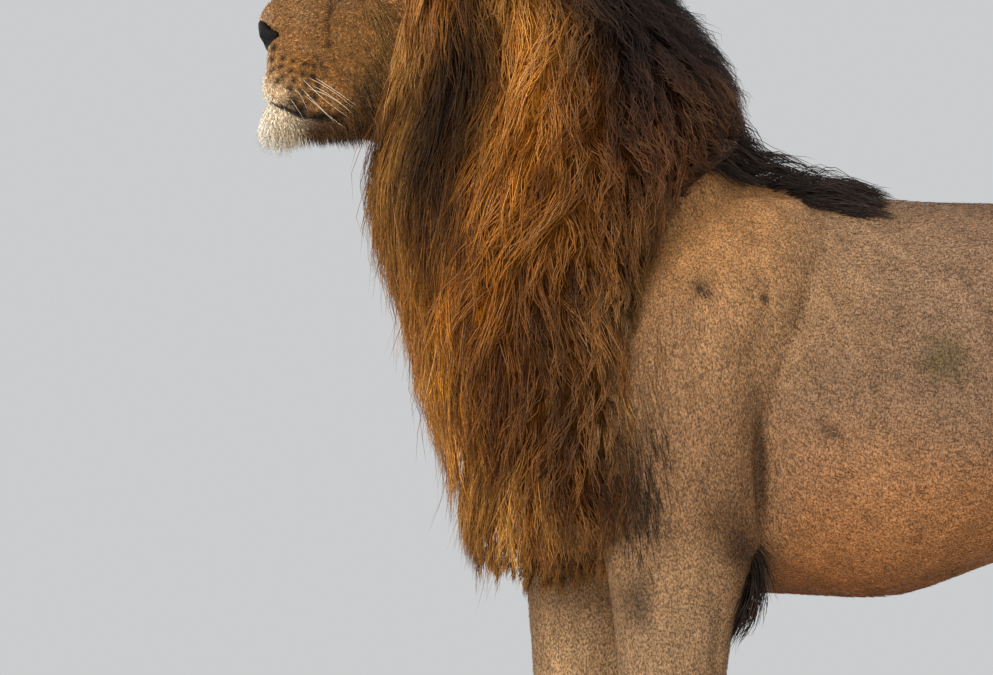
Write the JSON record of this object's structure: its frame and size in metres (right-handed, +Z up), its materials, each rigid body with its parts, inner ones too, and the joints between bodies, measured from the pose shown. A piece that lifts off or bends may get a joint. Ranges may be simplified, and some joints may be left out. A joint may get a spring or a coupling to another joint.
{
  "type": "lion",
  "caption": "Still life-size museum model of a standing adult male lion with a full dark mane, head level and mouth closed, resting on the soles of its paws.",
  "frame": {"origin": "on the floor, under the middle of the bounding box", "axes": "+Z up, -Y the way the lion faces, +X its left side, +Y towards the tail"},
  "size_m": [0.4584, 1.7116, 1.49],
  "materials": {
    "coat_tawny": "short flat fur",
    "coat_tan": "short flat fur",
    "nose_leather": "moist pebbled skin",
    "eye_amber": "wet glossy cornea",
    "mane_gold": "long coarse hair",
    "mane_brown": "long coarse hair",
    "mane_black": "long coarse hair"
  },
  "bodies": {
    "root": {"head": "coat_tawny", "neck": "coat_tawny", "trunk_chest": "coat_tawny", "trunk_belly": "coat_tawny", "trunk_hips": "coat_tawny", "ear_left": "coat_tawny", "ear_right": "coat_tawny", "upper_arm_left": "coat_tawny", "upper_arm_right": "coat_tawny", "forearm_left": "coat_tawny", "forearm_right": "coat_tawny", "forepaw_left": "coat_tawny", "forepaw_right": "coat_tawny", "thigh_left": "coat_tawny", "thigh_right": "coat_tawny", "shank_left": "coat_tawny", "shank_right": "coat_tawny", "hock_left": "coat_tawny", "hock_right": "coat_tawny", "hindpaw_left": "coat_tawny", "hindpaw_right": "coat_tawny", "jaw": "coat_tan", "tail_root": "coat_tan", "tail_middle": "coat_tan", "tail_end": "coat_tan", "nose": "nose_leather", "eye_left": "eye_amber", "eye_right": "eye_amber", "mane_left": "mane_gold", "mane_right": "mane_gold", "mane_chest_left": "mane_brown", "mane_chest_right": "mane_brown", "mane_crest": "mane_black", "mane_withers": "mane_black", "tail_tuft": "mane_black", "elbow_tuft_left": "mane_black", "elbow_tuft_right": "mane_black"}
  },
  "joints": []
}
